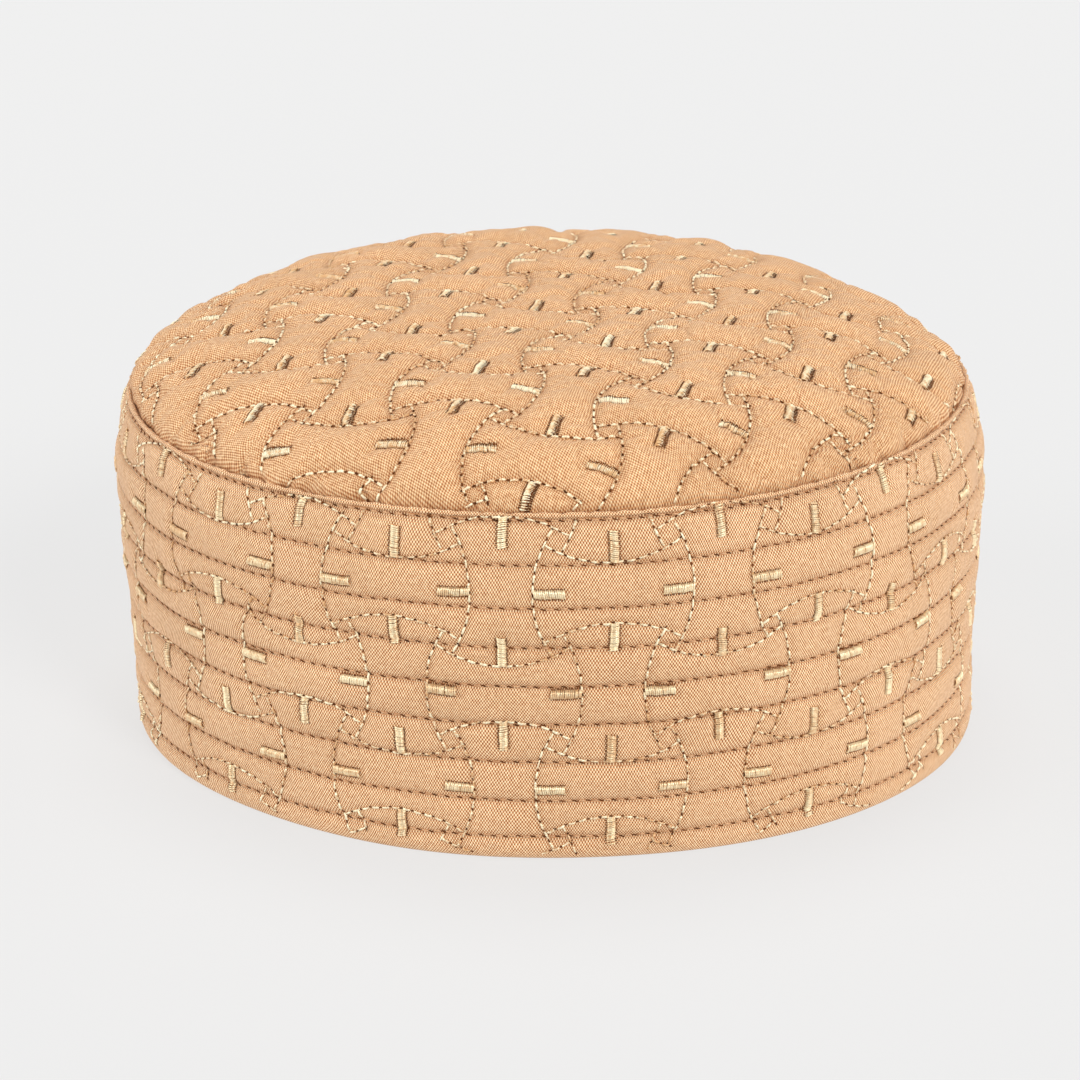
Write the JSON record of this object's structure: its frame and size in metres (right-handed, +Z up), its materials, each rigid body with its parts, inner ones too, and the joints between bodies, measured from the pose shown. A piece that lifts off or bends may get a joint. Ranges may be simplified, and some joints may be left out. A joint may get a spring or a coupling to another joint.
{
  "type": "prayer cap",
  "caption": "Round quilted cloth prayer cap: an upright padded side band with rows of stitching and a softly domed crown panel.",
  "frame": {"origin": "middle of the bounding box on the surface that the rim stands on", "axes": "+Z up out of the crown, the front of the cap faces -Y, +X to the right of the picture"},
  "size_m": [0.193, 0.1894, 0.0909],
  "materials": {
    "band_cloth": "woven tan cotton, quilted in rows",
    "crown_cloth": "woven tan cotton, padded",
    "embroidery_thread": "pale gold silky thread"
  },
  "bodies": {
    "root": {"side_band": "band_cloth", "crown_panel": "crown_cloth"}
  },
  "joints": []
}
